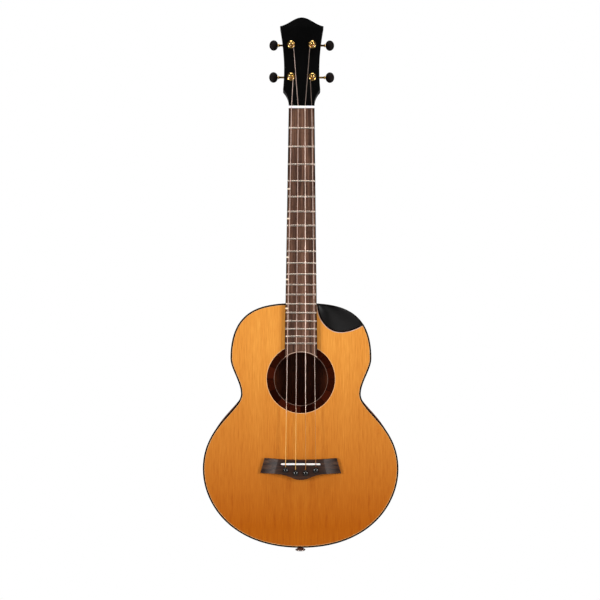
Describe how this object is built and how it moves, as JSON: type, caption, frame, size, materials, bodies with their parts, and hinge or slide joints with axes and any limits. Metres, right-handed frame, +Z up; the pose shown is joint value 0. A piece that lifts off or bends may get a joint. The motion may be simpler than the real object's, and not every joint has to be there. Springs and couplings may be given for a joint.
{
  "type": "baritone ukulele",
  "caption": "Baritone ukulele with a cedar top, scooped treble shoulder, black bindings and open-geared tuning machines whose buttons turn the string posts.",
  "frame": {"origin": "middle of the nut's front edge, in the plane of the soundboard", "axes": "+Z up the neck towards the headstock, +X to the treble side, -Y out of the soundboard towards the player's front"},
  "size_m": [0.2682, 0.1024, 0.7447],
  "materials": {
    "cedar": "gloss",
    "mahogany": "gloss",
    "spruce": "bare",
    "rosewood": "oiled",
    "rosette_wood": "gloss",
    "black_binding": "gloss",
    "black_lacquer": "black gloss lacquer",
    "black_plastic": "gloss",
    "scoop_black": "black satin lacquer",
    "bone": "satin",
    "gold_plate": "gold plated",
    "chrome": "polished",
    "nylon": "clear",
    "wound_string": "wound"
  },
  "bodies": {
    "instrument": {"soundboard": "cedar", "back": "mahogany", "side_bass": "mahogany", "side_treble": "mahogany", "neck_block": "mahogany", "tail_block": "mahogany", "top_lining": "mahogany", "back_lining": "mahogany", "upper_brace": "spruce", "lower_brace": "spruce", "fan_brace_bass": "spruce", "fan_brace_centre": "spruce", "fan_brace_treble": "spruce", "bridge_plate": "rosewood", "back_brace_upper": "spruce", "back_brace_middle": "spruce", "back_brace_lower": "spruce", "rosette": "rosette_wood", "top_binding": "black_binding", "back_binding": "black_binding", "scoop_panel": "scoop_black", "neck": "mahogany", "headplate": "black_lacquer", "fingerboard": "rosewood", "nut": "bone", "bridge": "rosewood", "saddle": "bone", "bridge_pin_1": "black_plastic", "bridge_pin_2": "black_plastic", "bridge_pin_3": "black_plastic", "bridge_pin_4": "black_plastic", "strap_button": "chrome", "string_d": "wound_string", "string_g": "wound_string", "string_b": "nylon", "string_e": "nylon", "tuner_bushing_1": "gold_plate", "tuner_bushing_2": "gold_plate", "tuner_bushing_3": "gold_plate", "tuner_bushing_4": "gold_plate", "tuner_plate_1": "gold_plate", "tuner_plate_2": "gold_plate", "tuner_plate_3": "gold_plate", "tuner_plate_4": "gold_plate"},
    "button_1": {"worm_shaft_1": "gold_plate", "tuner_button_1": "black_plastic"},
    "button_2": {"worm_shaft_2": "gold_plate", "tuner_button_2": "black_plastic"},
    "button_3": {"worm_shaft_3": "gold_plate", "tuner_button_3": "black_plastic"},
    "button_4": {"worm_shaft_4": "gold_plate", "tuner_button_4": "black_plastic"},
    "post_1": {"string_post_1": "gold_plate", "string_winding_1": "wound_string"},
    "post_2": {"string_post_2": "gold_plate", "string_winding_2": "wound_string"},
    "post_3": {"string_post_3": "gold_plate", "string_winding_3": "nylon"},
    "post_4": {"string_post_4": "gold_plate", "string_winding_4": "nylon"}
  },
  "joints": [
    {"name": "button_1_turn", "type": "hinge", "parent": "instrument", "child": "button_1", "pos_m": [-0.01475, 0.02971, 0.04731], "axis": [1, 0, 0], "continuous": true},
    {"name": "button_2_turn", "type": "hinge", "parent": "instrument", "child": "button_2", "pos_m": [-0.01475, 0.0413, 0.0938], "axis": [1, 0, 0], "continuous": true},
    {"name": "button_3_turn", "type": "hinge", "parent": "instrument", "child": "button_3", "pos_m": [0.01475, 0.0413, 0.0938], "axis": [1, 0, 0], "continuous": true},
    {"name": "button_4_turn", "type": "hinge", "parent": "instrument", "child": "button_4", "pos_m": [0.01475, 0.02971, 0.04731], "axis": [1, 0, 0], "continuous": true},
    {"name": "post_1_turn", "type": "hinge", "parent": "instrument", "child": "post_1", "pos_m": [-0.01475, 0.01017, 0.04437], "axis": [0, -0.9703, 0.2419], "continuous": true},
    {"name": "post_2_turn", "type": "hinge", "parent": "instrument", "child": "post_2", "pos_m": [-0.01475, 0.02176, 0.09086], "axis": [0, -0.9703, 0.2419], "continuous": true},
    {"name": "post_3_turn", "type": "hinge", "parent": "instrument", "child": "post_3", "pos_m": [0.01475, 0.02176, 0.09086], "axis": [0, -0.9703, 0.2419], "continuous": true},
    {"name": "post_4_turn", "type": "hinge", "parent": "instrument", "child": "post_4", "pos_m": [0.01475, 0.01017, 0.04437], "axis": [0, -0.9703, 0.2419], "continuous": true}
  ],
  "couplings": [
    {"joint": "post_1_turn", "follows": "button_1_turn", "ratio": 0.0625},
    {"joint": "post_2_turn", "follows": "button_2_turn", "ratio": 0.0625},
    {"joint": "post_3_turn", "follows": "button_3_turn", "ratio": 0.0625},
    {"joint": "post_4_turn", "follows": "button_4_turn", "ratio": 0.0625}
  ]
}
